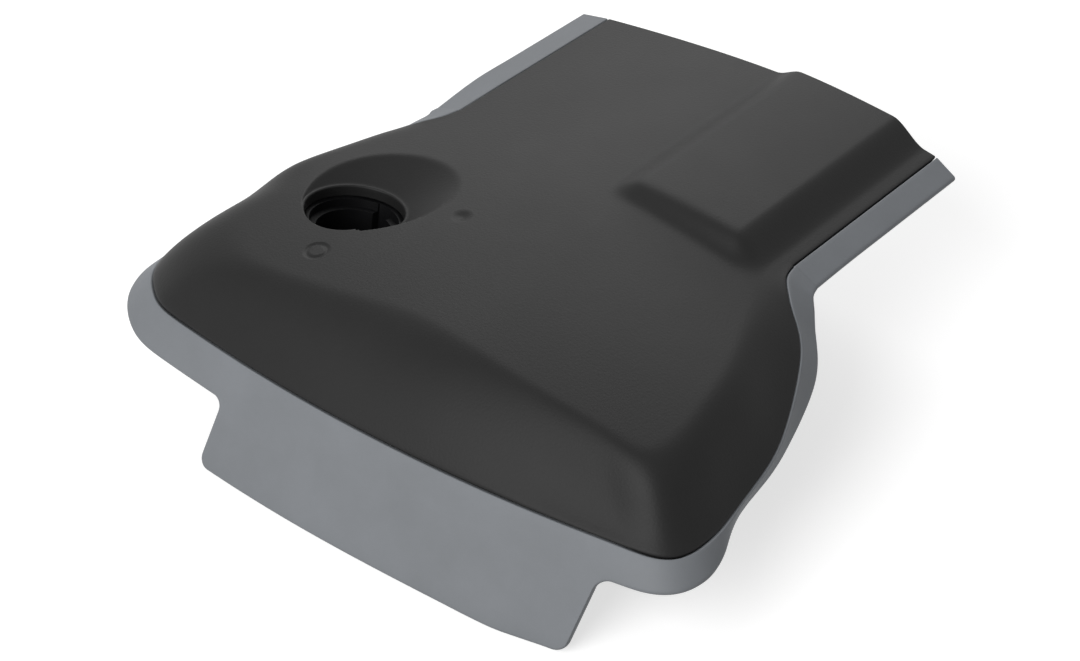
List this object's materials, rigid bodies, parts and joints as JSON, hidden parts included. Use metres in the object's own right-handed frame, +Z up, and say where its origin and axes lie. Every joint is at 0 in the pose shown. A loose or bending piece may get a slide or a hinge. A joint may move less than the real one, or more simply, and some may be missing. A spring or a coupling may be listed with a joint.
{
  "type": "roof rack crossbar foot cover",
  "caption": "Moulded cover with a rubber skirt that clips over the foot at the end of a roof rack crossbar and locks with a turning cam.",
  "frame": {"origin": "middle of the neck's end face, at the height of the neck's side edges, where the cover meets the bar", "axes": "+Y points to the bar and the cover runs along -Y to its wide foot end, +X to the side away from the lock, +Z up"},
  "size_m": [0.1252, 0.1195, 0.0374],
  "materials": {
    "shell_plastic": "fine grained",
    "skirt_rubber": "matt",
    "barrel_plastic": "smooth",
    "cam_steel": "zinc plated",
    "screw_steel": "zinc plated"
  },
  "bodies": {
    "cover": {"cover_shell": "shell_plastic", "edge_skirt": "skirt_rubber"},
    "latch": {"lock_barrel": "barrel_plastic", "latch_cam": "cam_steel", "cam_screw": "screw_steel"}
  },
  "joints": [
    {"name": "lock_turn", "type": "hinge", "parent": "cover", "child": "latch", "pos_m": [-0.03, -0.0765, 0.0003], "axis": [0, 0.1736, 0.9848], "range_deg": [-90, 0]}
  ]
}
